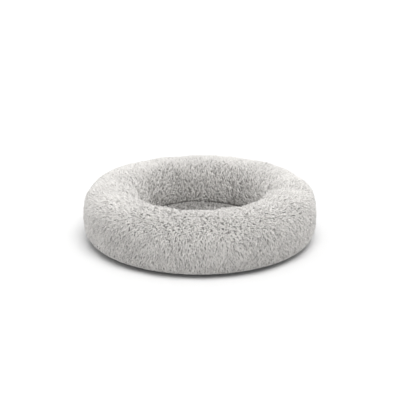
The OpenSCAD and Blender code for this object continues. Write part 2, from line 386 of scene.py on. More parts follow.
def fibre_finish(name):
    """Loose polyester fibre: bright, matt and tangled"""
    f = Finish(name, roughness=0.92, sheen_weight=0.35)
    at = f.place()
    sway = f.scaled(f.noise(at, 30.0).of("Color"), 0.05)
    hair = f.noise(f.add("ShaderNodeVectorMath", {"operation": "ADD"}, {0: at, 1: sway}), 260.0, 4.0, 0.7)
    wad = f.noise(at, 26.0, 3.0, 0.6)
    stops = [(0.25, (0.62, 0.62, 0.61)), (0.55, (0.84, 0.84, 0.83)), (0.8, (0.93, 0.93, 0.92))]
    colour = f.ramp((hair * 0.6 + wad * 0.4).cut(), stops)
    return f.wear(base_color=colour, normal=f.bump(hair + wad, 0.0025))


def rubber_finish(name):
    """Moulded grip rubber: near black, dusty where it has rubbed"""
    f = Finish(name)
    at = f.place()
    grain = f.noise(at, 900.0, 3.0, 0.6)
    dust = f.noise(at, 70.0, 4.0, 0.65)
    colour = f.mix(((dust - 0.5) * 2.4).cut(), (0.016, 0.016, 0.017), (0.060, 0.058, 0.056))
    return f.wear(base_color=colour, roughness=(0.5 + dust * 0.35).cut(), normal=f.bump(grain, 0.0001))


def metal_finish(name):
    """Cast zinc, plated, with fine scratches and patchy dullness"""
    f = Finish(name, metallic=1.0)
    at = f.place()
    line = f.noise(f.stretched(at, (300.0, 5200.0, 900.0)), 1.0, 3.0, 0.6)
    smut = f.noise(at, 340.0, 3.0, 0.6)
    colour = f.mix(smut, (0.46, 0.455, 0.44), (0.68, 0.675, 0.66))
    worn = (0.2 + smut * 0.24 + line * 0.12).cut()
    return f.wear(base_color=colour, roughness=worn, normal=f.bump(line, 0.00003))


def coil_finish(name, colour):
    """Drawn nylon: a little gloss and uneven dye"""
    f = Finish(name, coat_roughness=0.25)
    at = f.place()
    dye = f.noise(at, 160.0, 3.0, 0.6)
    shade = f.mix(dye, tint(colour, 0.72), tint(colour, 1.5))
    grain = f.bump(f.noise(at, 2400.0), 0.00003)
    return f.wear(base_color=shade, roughness=(0.30 + dye * 0.2).cut(), normal=grain)


def satin_finish(name):
    """Blank satin ribbon: long floats across it, and a soft shine"""
    f = Finish(name, sheen_weight=0.3)
    at = f.place()
    floats = f.noise(f.stretched(at, (420.0, 5200.0, 420.0)), 1.0)
    soil = f.noise(at, 60.0, 3.0, 0.6)
    colour = f.mix((soil * 0.5 + floats * 0.5).cut(), (0.62, 0.61, 0.59), (0.86, 0.855, 0.84))
    shine = (0.32 + floats * 0.25).cut()
    return f.wear(base_color=colour, roughness=shine, normal=f.bump(floats, 0.00006))


def finish_of(key, make, *parts):
    """A material by name, made the first time that it is asked for"""
    name = key + "_finish"
    return bpy.data.materials.get(name) or make(name, *parts)


def trim_finish():
    """Twill binding cloth"""
    colour = tuple(sizes("bed_base").trim)
    return finish_of("binding_cloth", woven_finish, colour, 4200.0, 0.0002, 0.8, 0.3, True)


# Shapes


def deselect():
    if bpy.context.mode != "OBJECT":
        close_mesh()
    bpy.ops.object.select_all(action="DESELECT")


def pick(obj):
    deselect()
    obj.select_set(True)
    bpy.context.view_layer.objects.active = obj


def open_mesh():
    bpy.ops.object.mode_set(mode="EDIT")


def close_mesh():
    bpy.ops.object.mode_set(mode="OBJECT")


def take_all():
    bpy.ops.mesh.select_all(action="SELECT")


def added(name, data):
    obj = bpy.data.objects.new(name, data)
    bpy.context.scene.collection.objects.link(obj)
    return obj
def deselect():
    if bpy.context.mode != "OBJECT":
        bpy.ops.object.mode_set(mode="OBJECT")
    bpy.ops.object.select_all(action="DESELECT")


def pick(obj):
    deselect()
    obj.select_set(True)
    bpy.context.view_layer.objects.active = obj


def points_of(obj):
    points = np.zeros(len(obj.data.vertices) * 3, np.float32)
    obj.data.vertices.foreach_get("co", points)
    return points.reshape(-1, 3).astype(float)


def put_points(obj, points):
    obj.data.vertices.foreach_set("co", np.ascontiguousarray(points, np.float32).ravel())
    obj.data.update()


def spun(name, outline, steps, start=0.0, span=TAU):
    """Turns a closed outline of (radius, height) round the bed's axis, and closes its ends"""
    deselect()
    bpy.ops.mesh.primitive_circle_add(vertices=len(outline), radius=1)
    obj = bpy.context.object
    obj.name = name
    obj.data.name = name
    put_points(obj, np.array([(r * math.cos(start), r * math.sin(start), z) for r, z in outline]))
    open_mesh()
    take_all()
    bpy.ops.mesh.spin(steps=steps, angle=-span, center=(0, 0, 0), axis=(0, 0, 1))
    take_all()
    bpy.ops.mesh.remove_doubles(threshold=WELD)
    if span < TAU - WELD:
        bpy.ops.mesh.fill_holes(sides=0)
    take_all()
    bpy.ops.mesh.normals_make_consistent(inside=False)
    close_mesh()
    return obj


def smooth(obj, angle):
    pick(obj)
    bpy.ops.object.shade_smooth_by_angle(angle=math.radians(angle))


def dress(obj, material, slot, *stands_for, body="bed", soft=0):
    """Gives a piece its material and body, smooths it if asked, and hides the nodes that it stands for; the
    slot is not used
    """
    if soft:
        smooth(obj, soft)
    obj.data.materials.clear()
    obj.data.materials.append(material)
    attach(obj, body)
    if stands_for:
        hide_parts(*stands_for)
    return obj


def curved(x, power):
    """A power that keeps the sign of its base"""
    return np.sign(x) * np.abs(x) ** power


def rounded(count, wide, tall, wide_power, tall_power):
    """Offsets round a closed oval with squared corners"""
    a = TAU * np.arange(count) / count
    return wide * curved(np.cos(a), wide_power), tall * curved(np.sin(a), tall_power)


def polar(points):
    return np.arctan2(points[:, 1], points[:, 0]), np.hypot(points[:, 0], points[:, 1])


def ramped(t, start, span):
    """Rises from 0 to 1 over a span of degrees from a start: upwards, or downwards if it is negative"""
    return np.clip((np.degrees(t) - start) / span, 0, 1)


def powers(size, s):
    return np.where(s >= 0, size.crown_power, size.foot_power)


def oval(t, wide, above, below):
    """Radius and height of the ring's section at angle t, that far outside the cover's cloth"""
    size = sizes("bed_ring")
    c = np.cos(t)
    s = np.sin(t)
    power = powers(size, s)
    tall = np.where(s >= 0, size.above + above, size.below + below)
    return size.middle + (size.half + wide) * curved(c, 2 / power), size.waist + tall * curved(s, 2 / power)


def section(t, f):
    """Radius and height of the ring's section at angle t, from the cloth (f 0) to the tips (f 1)"""
    size = sizes("bed_ring")
    return oval(t, f * size.pile, f * size.pile, f * size.foot)


def facing(t):
    """Outward direction of the ring's section at angle t"""
    size = sizes("bed_ring")
    c = np.cos(t)
    s = np.sin(t)
    power = powers(size, s)
    r = curved(c, 2 - 2 / power) / size.half
    z = curved(s, 2 - 2 / power) / np.where(s >= 0, size.above, size.below)
    long = np.hypot(r, z)
    return r / long, z / long


def outward(theta, t):
    """Direction out of the ring's cloth at an angle round the bed and an angle round its section"""
    r, z = facing(t)
    return np.stack((r * np.cos(theta), r * np.sin(theta), z), -1)


def ring_angles(points):
    """Angle round the bed and round the section of points on or in the ring"""
    size = sizes("bed_ring")
    theta, r = polar(points)
    dz = points[:, 2] - size.waist
    power = powers(size, dz) / 2
    tall = np.where(dz >= 0, size.above, size.below)
    return theta, np.arctan2(curved(dz / tall, power), curved((r - size.middle) / size.half, power))


def waves(theta, t, seed, count, top, tilt):
    """Smooth, seeded unevenness that closes up round the ring, from -1 to 1"""
    rng = np.random.default_rng(seed)
    total = np.zeros(np.broadcast(theta, t).shape)
    for _ in range(count):
        m = rng.integers(1, top)
        n = rng.integers(-tilt, tilt + 1)
        total = total + np.sin(m * theta + n * t + rng.uniform(0, TAU)) * rng.uniform(0.5, 1)
    return total / math.sqrt(count) / 0.9


def settled(t):
    """1 where the filling may push the cloth, down to 0 at the base seam and the floor"""
    low = np.radians(-95)
    angle = np.mod(t - low, TAU) + low
    part = ramped(angle, -40, 30) * ramped(angle, 215, -35)
    return part * part * (3 - 2 * part)


puff = {}


def blow_up(obj, feel):
    """Fills a closed form as cloth under pressure, and keeps each point near where it was"""
    scene = bpy.context.scene
    before = points_of(obj)
    pick(obj)
    cloth = obj.modifiers.new("filling", "CLOTH")
    cloth.settings.quality = 5
    cloth.settings.mass = 0.3
    cloth.settings.use_pressure = True
    cloth.settings.uniform_pressure_force = feel.pressure
    cloth.settings.effector_weights.gravity = 0
    cloth.settings.bending_stiffness = 0.4
    for step in range(1, 21):
        scene.frame_set(step)
    bpy.ops.object.modifier_apply(modifier=cloth.name)
    scene.frame_set(1)
    move = points_of(obj) - before
    far = np.linalg.norm(move, axis=1, keepdims=True)
    return before, move * np.minimum(1, feel.reach / np.maximum(far, 1e-9))


def fill_ring():
    """Works out once how far the filling pushes the ring's cloth, all round it"""
    feel = sizes("bed_feel")
    rounds = 180
    around = 64
    theta = np.linspace(0, TAU, rounds, endpoint=False)
    t = np.linspace(0, TAU, around, endpoint=False)
    push = feel.lump * waves(theta[:, None], t[None, :], feel.seed, 16, 17, 2)
    push += 0.45 * feel.lump * waves(theta[:, None], t[None, :], feel.seed + 1, 18, 40, 5)
    form = spun("ring_form", list(zip(*section(t, -0.1))), rounds)
    before, move = blow_up(form, feel)
    at, side = ring_angles(before)
    i = np.rint(at / TAU * rounds).astype(int) % rounds
    j = np.rint(side / TAU * around).astype(int) % around
    grid = np.zeros((rounds, around))
    grid[i, j] = (move * outward(at, side)).sum(1)
    push += grid - 0.002
    bpy.data.objects.remove(form)
    puff["ring"] = push * settled(t)[None, :]


def swell_at(theta, t):
    """How far the ring's cloth stands out at an angle, read from the filled form"""
    if "ring" not in puff:
        fill_ring()
    grid = puff["ring"]
    rounds, around = grid.shape
    x = np.mod(theta, TAU) / TAU * rounds
    y = np.mod(t, TAU) / TAU * around
    i = np.floor(x).astype(int)
    j = np.floor(y).astype(int)
    u = x - i
    v = y - j

    def row(k):
        return grid[k % rounds, j % around] * (1 - v) + grid[k % rounds, (j + 1) % around] * v

    return row(i) * (1 - u) + row(i + 1) * u


def on_ring(theta, t, f):
    """Points of the ring at an angle round it, an angle round its section and a share of its pile"""
    r, z = section(t, f)
    at = np.stack((r * np.cos(theta), r * np.sin(theta), z), -1)
    return at + outward(theta, t) * swell_at(theta, t)[:, None]


def swollen(obj):
    """Moves a piece of the ring as the filling does"""
    points = points_of(obj)
    theta, t = ring_angles(points)
    put_points(obj, points + outward(theta, t) * swell_at(theta, t)[:, None])
    return obj


def arc(f, low, high, count):
    """Outline points of the ring's section between two angles"""
    return list(zip(*section(np.radians(np.linspace(low, high, count)), f)))


def on_seam(u, v):
    """Radius and height of a point beside the base seam: u inwards and down, v out of the bed"""
    base = sizes("bed_base")
    c = math.cos(base.slope)
    s = math.sin(base.slope)
    return base.seam - u * c + v * s, base.height - u * s - v * c


def from_seam(r, z):
    """How far inwards of the base seam, and how far out of the bed, a radius and height lie"""
    base = sizes("bed_base")
    c = math.cos(base.slope)
    s = math.sin(base.slope)
    return -(r - base.seam) * c - (z - base.height) * s, (r - base.seam) * s - (z - base.height) * c


def seam_angle(u, f):
    """Angle at which the ring's section passes that far inwards of the base seam"""
    t = np.radians(np.linspace(-80, 0, 1601))
    return float(np.interp(-u, -from_seam(*section(t, f))[0], t))


def cut_across(levels):
    """Rings of points at these heights, in the form that is open"""
    for level in levels:
        take_all()
        bpy.ops.mesh.bisect(plane_co=(0, 0, level), plane_no=(0, 0, 1))


def repeated(name, points, corners, totals):
    """One mesh of many copies of a form, from each copy's points and the form's faces"""
    count, size = points.shape[:2]
    loops = (np.array(corners)[None, :] + np.arange(count)[:, None] * size).ravel()
    starts = np.concatenate(([0], np.cumsum(np.tile(totals, count))[:-1]))
    mesh = bpy.data.meshes.new(name)
    mesh.vertices.add(count * size)
    mesh.vertices.foreach_set("co", points.astype(np.float32).ravel())
    mesh.loops.add(len(loops))
    mesh.loops.foreach_set("vertex_index", loops.astype(np.int32))
    mesh.polygons.add(len(starts))
    mesh.polygons.foreach_set("loop_start", starts.astype(np.int32))
    mesh.update(calc_edges=True)
    return added(name, mesh)


# Fur


def lock_form():
    """One tapering lock of fur, one unit long: its points, their levels, faces and pattern map"""
    deselect()
    bpy.ops.mesh.primitive_cone_add(vertices=3, radius1=1, radius2=0, depth=1, location=(0, 0, 0.5))
    lock = bpy.context.object
    bpy.ops.object.transform_apply(location=True, rotation=True, scale=True)
    open_mesh()
    cut_across(LEVELS[1:-1])
    take_all()
    bpy.ops.mesh.normals_make_consistent(inside=False)
    close_mesh()
    points = points_of(lock)
    level = np.abs(points[:, 2:] - np.array(LEVELS)[None, :]).argmin(1)
    wide = np.hypot(points[:, 0], points[:, 1])
    points[:, :2] *= (np.array(FULLNESS)[level] / np.maximum(wide, 1e-6))[:, None]
    side = np.rint(np.arctan2(points[:, 0], points[:, 1]) / TAU * 3).astype(int) % 3
    faces = []
    chart = []
    for polygon in lock.data.polygons:
        corners = list(polygon.vertices)
        sides = [int(side[k]) for k in corners]
        cap = all(level[k] == 0 for k in corners)
        wraps = 0 in sides and 2 in sides and not cap
        u = [(3 if wraps and n == 0 else n) / 3 - 0.5 for n in sides]
        v = [0.0, 0.05, 0.02] if cap else [LEVELS[level[k]] for k in corners]
        for place, k in enumerate(corners):
            if level[k] == len(LEVELS) - 1:
                others = [u[p] for p in range(len(corners)) if p != place]
                u[place] = sum(others) / len(others)
        faces.append(corners)
        chart += zip(u, v)
    bpy.data.objects.remove(lock)
    return points, level, faces, np.array(chart)


def plant(name, lines, ups, wide, tone_and_light):
    """Makes one mesh of locks that follow lines: a lock for each line, each closed at its root"""
    points, level, faces, chart = lock_form()
    count = len(lines)
    along = np.gradient(lines, axis=1)
    along /= np.linalg.norm(along, axis=2, keepdims=True)
    side = np.cross(along, ups)
    side /= np.maximum(np.linalg.norm(side, axis=2, keepdims=True), 1e-9)
    lift = np.cross(side, along)
    x = points[:, 0][None, :, None] * wide[:, None, None] * 0.5
    y = points[:, 1][None, :, None] * wide[:, None, None] * 0.34
    made = lines[:, level] + side[:, level] * x + lift[:, level] * y
    obj = repeated(name, made, sum(faces, []), [len(corners) for corners in faces])
    mesh = obj.data
    mesh.polygons.foreach_set("use_smooth", np.ones(len(mesh.polygons), bool))
    uv = np.empty((count, len(chart), 2), np.float32)
    uv[:, :, 0] = tone_and_light[:, None] + chart[None, :, 0] * 0.016
    uv[:, :, 1] = np.clip(chart[None, :, 1] * 0.98 + 0.01, 0, 1)
    mesh.uv_layers.new(name=MAP)
    mesh.uv_layers[MAP].data.foreach_set("uv", uv.ravel())
    mesh.update()
    return obj


def nearest(places, centres):
    """Index of the centre nearest to each place, on a plane"""
    tree = KDTree(len(centres))
    for i, (x, y) in enumerate(centres):
        tree.insert((x, y, 0), i)
    tree.balance()
    return np.array([tree.find((x, y, 0))[1] for x, y in places])


def scatter(low, high, width_at, gap, rng):
    """Even, jittered places (turn from 0 to 1, distance) over a band whose width changes"""
    found = []
    rows = max(1, int((high - low) / (gap * 0.87)))
    for k in range(rows):
        s = low + (k + 0.5) * (high - low) / rows
        n = max(1, int(round(width_at(s) / gap)))
        turns = (np.arange(n) + 0.5 * (k % 2) + rng.uniform(-0.38, 0.38, n)) / n
        found.append(np.stack((turns, s + rng.uniform(-0.4, 0.4, n) * gap), 1))
    return np.concatenate(found)


class Meridian:
    """Distance along the ring's section, from its base seam over the crown to the crease"""

    def __init__(self, start):
        size = sizes("bed_ring")
        self.t = np.linspace(np.radians(-80), np.radians(215), 2400)
        self.r, z = section(self.t, 0.6)
        self.s = np.concatenate(([0], np.cumsum(np.hypot(np.diff(self.r), np.diff(z)))))
        self.s -= self.distance(start)
        self.end = self.distance(size.crease)

    def distance(self, t):
        return float(np.interp(t, self.t, self.s))

    def angle(self, s):
        return np.interp(s, self.s, self.t)

    def radius(self, s):
        return np.interp(s, self.s, self.r)


def ring_locks(start_turn, low, high, run, stop, seed):
    """Lines and upward directions of the locks on a quarter of the ring, between two distances"""
    look = sizes("bed_pile")
    rng = np.random.default_rng(seed)
    quarter = TAU / 4

    def width_at(s):
        return quarter * run.radius(s)

    spots = scatter(low, high, width_at, look.gap, rng)
    tufts = scatter(low, high, width_at, look.clump, rng)
    theta = start_turn + spots[:, 0] * quarter
    s = spots[:, 1]
    to_plane = (quarter * 0.30, 1)
    mine = nearest(spots * to_plane, tufts * to_plane)

    def by_lock(spread=1):
        return rng.normal(0, spread, len(s))

    def by_tuft():
        return rng.normal(0, 1, len(tufts))[mine]

    t = run.angle(s)
    inner = ramped(t, 100, 50)
    swirl = waves(theta, t, 31, 14, 15, 4) * 0.6 + waves(theta, t, 32, 14, 42, 9) * 0.45
    tuft_turn = by_tuft() * 0.24
    crest = np.exp(-(((t - np.radians(70)) / np.radians(40)) ** 2))
    heading = (look.flow * swirl + tuft_turn) * (1 + inner)
    heading = heading + by_lock(look.stray) * (1 + 0.5 * inner + 5.5 * crest)
    reach = look.lay * rng.uniform(0.75, 1.2, len(s)) * (1 - 0.2 * inner - 0.25 * crest)
    reach = np.minimum(reach, np.maximum(s - stop, 0.006))
    curl = by_lock(0.35)
    dip = (0.32 - 0.26 * crest) * rng.uniform(0, 1, len(tufts))[mine]
    tall = rng.uniform(0.84 + 0.08 * crest, 1.0, len(s)) * (1 - dip)
    gather = look.gather * (1 - 0.7 * crest)
    tuft_s = tufts[mine, 1]
    tuft_theta = start_turn + tufts[mine, 0] * quarter
    root = 0.26
    lines = []
    ups = []
    for level in LEVELS:
        bend = heading + curl * level
        far = reach * level**LIE
        pull = gather * level**CLOSE
        at_s = s - far * np.cos(bend) + (tuft_s - s) * pull
        at_s = np.maximum(at_s, stop + (1 - level) * 0.001)
        at_theta = theta + far * np.sin(bend) / run.radius(s) + (tuft_theta - theta) * pull
        f = root + (tall - root) * (1 - (1 - level) ** RISE)
        angle = run.angle(at_s)
        f = np.maximum(f, 0.78 * ramped(angle, -38, -10) * min(1, level * 2.2))
        lines.append(on_ring(at_theta, angle, np.minimum(f, 1.0)))
        ups.append(outward(at_theta, angle))
    wide = look.wide * rng.uniform(0.78, 1.25, len(s)) * (0.9 + 0.5 * crest)
    cloudy = waves(theta, t, 41, 16, 12, 4) * 0.075 + waves(theta, t, 42, 16, 50, 12) * 0.07
    # Painted light: 0.13 * crest lightens the locks on the crest as a painted highlight from above, and the
    # ramp from 30 down to -50 degrees darkens the outer wall's lower locks as painted shade towards the
    # floor.
    tone_and_light = 0.64 + cloudy + 0.13 * crest - 0.20 * ramped(t, 30, -80)
    tone_and_light = tone_and_light + (0.15 - 0.1 * crest) * (by_lock() + by_tuft())
    return np.stack(lines, 1), np.stack(ups, 1), wide, np.clip(tone_and_light, 0.02, 0.98)


QUARTERS = {"back_right": 0, "back_left": 90, "front_left": 180, "front_right": 270}


class PETBED_OT_ring_cover(bpy.types.Operator):
    """Sews the ring's four quarter panels of backing cloth"""

    bl_idname = "petbed.ring_cover"
    bl_label = "Ring cover"

    def execute(self, context):
        crease = math.degrees(context.scene.bed_ring.crease)
        material = finish_of("fur_backing", skin_finish, context.scene.bed_pile)
        for side, start in QUARTERS.items():
            hem = FRONT_HEM if side.startswith("front") else BACK_HEM
            low = math.degrees(seam_angle(-hem, 0.0)) + 0.4
            outline = arc(0.34, low, crease, 70) + arc(0.03, crease, low, 40)
            panel = swollen(spun("fur_backing_" + side, outline, 78, math.radians(start), TAU / 4))
            dress(panel, material, "ring_fur", "fur_panel_" + side, soft=60)
        return {"FINISHED"}


class PETBED_OT_ring_pile(bpy.types.Operator):
    """Plants the locks of the ring's pile"""

    bl_idname = "petbed.ring_pile"
    bl_label = "Ring pile"

    def execute(self, context):
        material = finish_of("ring_pile", pile_finish, context.scene.bed_pile)
        for number, (side, start) in enumerate(QUARTERS.items()):
            front = side.startswith("front")
            run = Meridian(seam_angle(-FRONT_HEM if front else -BACK_HEM, 0.15))
            stop = run.distance(seam_angle(0.004 if front else -0.0062, 1.0))
            crest = run.distance(np.radians(62))
            zones = {"side": (0.0005, crest), "crown": (crest, run.end - 0.002)}
            for zone, (low, high) in zones.items():
                seed = 100 + 10 * number + len(zone)
                locks = ring_locks(math.radians(start), low, high, run, stop, seed)
                pile = plant("fur_" + zone + "_" + side, *locks)
                dress(pile, material, "ring_fur", "fur_panel_" + side)
        return {"FINISHED"}


def pad_height(r):
    """Height of the centre pad's top at a radius"""
    return PAD_EDGE + PAD_CROWN * (1 - (r / PAD_REACH) ** 2)


def well_lump(x, y):
    """Unevenness of the sleeping well"""
    r = np.hypot(x, y)
    rng = np.random.default_rng(5)
    total = np.zeros(np.shape(x))
    for _ in range(12):
        k = rng.uniform(10, 42, 2) * rng.choice((-1, 1), 2)
        total = total + np.sin(k[0] * x + k[1] * y + rng.uniform(0, TAU))
    return 0.0011 * total / 3.4 * np.clip((0.19 - r) / 0.05, 0, 1)


class PETBED_OT_well(bpy.types.Operator):
    """Makes the sleeping well: its crowned fur disc and the bound seam in the crease"""

    bl_idname = "petbed.well"
    bl_label = "Sleeping well"

    def execute(self, context):
        look = context.scene.bed_pile
        count = 26
        rows = [WELL_EDGE * i / count for i in range(count + 1)]
        under = [(r, float(pad_height(r)) + 0.0009) for r in rows]
        over = [(r, z + BACKING) for r, z in reversed(under)]
        disc = spun("well_backing", under + over, 144)
        points = points_of(disc)
        points[:, 2] += well_lump(points[:, 0], points[:, 1]) * 0.5
        put_points(disc, points)
        dress(disc, finish_of("fur_backing", skin_finish, look), "well_fur", "well_panel", soft=50)
        self.plant_well(look)
        self.bind_crease()
        return {"FINISHED"}

    def plant_well(self, look):
        rng = np.random.default_rng(61)
        spots = scatter(0.002, WELL_EDGE - 0.003, lambda s: TAU * s, look.gap, rng)
        tufts = scatter(0.004, WELL_EDGE - 0.004, lambda s: TAU * s, look.clump, rng)
        x, y = spots[:, 1] * (np.cos(spots[:, 0] * TAU), np.sin(spots[:, 0] * TAU))
        centres = tufts[:, 1] * (np.cos(tufts[:, 0] * TAU), np.sin(tufts[:, 0] * TAU))
        mine = nearest(np.stack((x, y), 1), centres.T)
        tuft_x, tuft_y = centres[:, mine]

        def by_tuft(spread):
            return rng.normal(0, spread, len(tufts))[mine]

        swirl = np.sin(11 * x + 17 * y) + np.sin(-23 * x + 9 * y + 1.0) + np.sin(31 * x - 27 * y + 2.0)
        heading = -math.pi / 2 + look.flow * swirl * 0.6 + rng.normal(0, look.stray * 1.3, len(x))
        heading = heading + by_tuft(0.22)
        reach = look.lay * rng.uniform(0.7, 1.1, len(x))
        tall = 0.0125 * rng.uniform(0.72, 1.0, len(x)) * rng.uniform(0.9, 1.04, len(tufts))[mine]
        lines = []
        for level in LEVELS:
            far = reach * level**LIE
            pull = look.gather * level**CLOSE
            px = x + far * np.cos(heading) + (tuft_x - x) * pull
            py = y + far * np.sin(heading) + (tuft_y - y) * pull
            keep = np.minimum(1, (WELL_EDGE - 0.0005) / np.maximum(np.hypot(px, py), 1e-6))
            px = px * keep
            py = py * keep
            pz = pad_height(np.hypot(px, py)) + BACKING + tall * (1 - (1 - level) ** RISE)
            lines.append(np.stack((px, py, pz + well_lump(px, py) * 0.5), 1))
        lines = np.stack(lines, 1)
        ups = np.zeros_like(lines)
        ups[:, :, 2] = 1
        tone_and_light = 0.53 + 0.05 * swirl / 2 + rng.normal(0, 0.13, len(x)) + by_tuft(0.07)
        wide = look.wide * rng.uniform(0.78, 1.25, len(x))
        pile = plant("well_pile", lines, ups, wide, np.clip(tone_and_light, 0.02, 0.98))
        dress(pile, finish_of("well_pile", pile_finish, look, 0.96), "well_fur", "well_panel")

    def bind_crease(self):
        low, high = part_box("crease_binding")
        wide, tall = rounded(24, 0.0045, (high.z - low.z) / 2, 0.6, 0.8)
        outline = list(zip(high.x - 0.0045 + wide, (low.z + high.z) / 2 + tall))
        binding = spun("crease_tape", outline, 160)
        dress(binding, trim_finish(), "binding", "crease_binding", soft=50)


def lining(low, high, count, by):
    """Outline points of the ring's lining, that far inside the cover's cloth"""
    return list(zip(*oval(np.radians(np.linspace(low, high, count)), -by, -by, -by)))


def pad_side(z, by):
    """Radius of the centre pad's side at a height, that far inside its liner"""
    size = sizes("bed_ring")
    share_of = ((size.waist - z) / size.below) ** size.foot_power
    return size.middle - (size.half + 0.0008) * (1 - share_of) ** (1 / size.foot_power) - 0.0018 - by


def pad_outline(by, low=True, high=True):
    """Outline of the centre pad from the middle of its bottom to the middle of its top"""
    made = []
    seam = 0.0289
    if low:
        made += [((0.222 - by) * k / 14, 0.0032 + by) for k in range(15)]
        made += [(pad_side(z, by), z) for z in np.linspace(0.014, seam, 6)]
    if high:
        made += [(pad_side(z, by), z) for z in np.linspace(seam, PAD_EDGE - by, 6)]
        edge = pad_side(PAD_EDGE, by) - 0.001
        made += [(edge * k / 16, float(pad_height(edge * k / 16)) - by) for k in range(16, -1, -1)]
    return made


class PETBED_OT_filling(bpy.types.Operator):
    """Makes the inner liners and the fibre in them"""

    bl_idname = "petbed.filling"
    bl_label = "Liners and fibre"

    def execute(self, context):
        cotton = finish_of("liner_cloth", woven_finish, (0.80, 0.79, 0.77), 3600.0, 0.00012, 0.88, 0.06)
        fibre = finish_of("fibre", fibre_finish)
        for half, start in (("upper", 0), ("lower", 180)):
            outline = lining(start, start + 180, 40, 0.0008) + lining(start + 180, start, 40, 0.0018)
            liner = swollen(spun("ring_liner_" + half, outline, 144))
            dress(liner, cotton, "liner_cloth", "bolster_liner_" + half, soft=60)
        ring = swollen(spun("ring_fibre", lining(0, 357, 100, 0.0027), 160))
        self.tangle(ring, 0.0020)
        dress(ring, fibre, "fibre", "bolster_fill")
        for half, low, high in (("upper", False, True), ("lower", True, False)):
            outline = pad_outline(0.0, low, high) + pad_outline(0.001, low, high)[::-1]
            liner = spun("pad_lining_" + half, outline, 120)
            dress(liner, cotton, "liner_cloth", "pad_liner_" + half, soft=60)
        pad = spun("pad_fibre", pad_outline(0.0019), 120)
        self.tangle(pad, 0.0014)
        dress(pad, fibre, "fibre", "pad_fill")
        return {"FINISHED"}

    def tangle(self, obj, deep):
        """Sinks the fibre's surface a little and unevenly, as wadding lies in its liner"""
        pick(obj)
        bpy.ops.object.shade_smooth()
        normals = np.zeros(len(obj.data.vertices) * 3, np.float32)
        obj.data.vertices.foreach_get("normal", normals)
        points = points_of(obj)
        rng = np.random.default_rng(17)
        total = np.zeros(len(points))
        for _ in range(14):
            k = rng.normal(0, 120, 3)
            total += np.sin(points @ k + rng.uniform(0, TAU))
        dip = deep * np.clip(0.5 + total / 9, 0, 1)
        put_points(obj, points - normals.reshape(-1, 3) * dip[:, None])


def seam_frames(angles, u, v, lean=0.0):
    """Places and directions beside the base seam: X inwards along it, Y out of it, Z round the bed"""
    base = sizes("bed_base")
    flat = np.zeros_like(angles)
    out = np.stack((np.cos(angles), np.sin(angles), flat), 1)
    round_it = np.stack((-np.sin(angles), np.cos(angles), flat), 1)
    up = np.array((0.0, 0.0, 1.0))
    r, z = on_seam(u + flat, v)
    at = out * r[:, None] + up * z[:, None]
    inwards = -out * math.cos(base.slope) - up * math.sin(base.slope)
    outwards = out * math.sin(base.slope) - up * math.cos(base.slope)
    lean = (lean + flat)[:, None]
    first = inwards * np.cos(lean) + round_it * np.sin(lean)
    third = round_it * np.cos(lean) - inwards * np.sin(lean)
    return at, np.stack((first, outwards, third), 1)


def copies(name, form, places, axes):
    """One mesh of copies of a form, each at its own place and turned to its own axes"""
    flip = np.linalg.det(axes[0]) < 0
    faces = [list(polygon.vertices)[:: -1 if flip else 1] for polygon in form.data.polygons]
    points = places[:, None, :] + np.einsum("pk,nkj->npj", points_of(form), axes)
    obj = repeated(name, points, sum(faces, []), [len(corners) for corners in faces])
    bpy.data.objects.remove(form)
    smooth(obj, 45)
    return obj


def thread_form():
    """One stitch: a short thread that dips into the cloth at both ends"""
    radius = 0.00026
    half = 0.0012
    deselect()
    bpy.ops.mesh.primitive_cylinder_add(vertices=6, radius=radius, depth=2 * half, end_fill_type="TRIFAN")
    thread = bpy.context.object
    open_mesh()
    cut_across((-0.0008, 0.0, 0.0008))
    close_mesh()
    points = points_of(thread)
    arch = 0.00042
    points[:, 1] += arch * (1 - (points[:, 2] / half) ** 2) - radius
    put_points(thread, points)
    return thread


def round_seam(start, span, pitch):
    """Evenly spaced angles beside the base seam, given in degrees and metres"""
    count = int(math.radians(span) * sizes("bed_base").seam / pitch)
    return np.radians(start + span * (np.arange(count) + 0.5) / count)


def stitches(name, angles, u, v, lean=0.0):
    """A row of stitches beside the base seam"""
    row = copies(name, thread_form(), *seam_frames(angles, u, v, lean))
    dress(row, finish_of("thread", coil_finish, (0.30, 0.30, 0.31)), "binding")


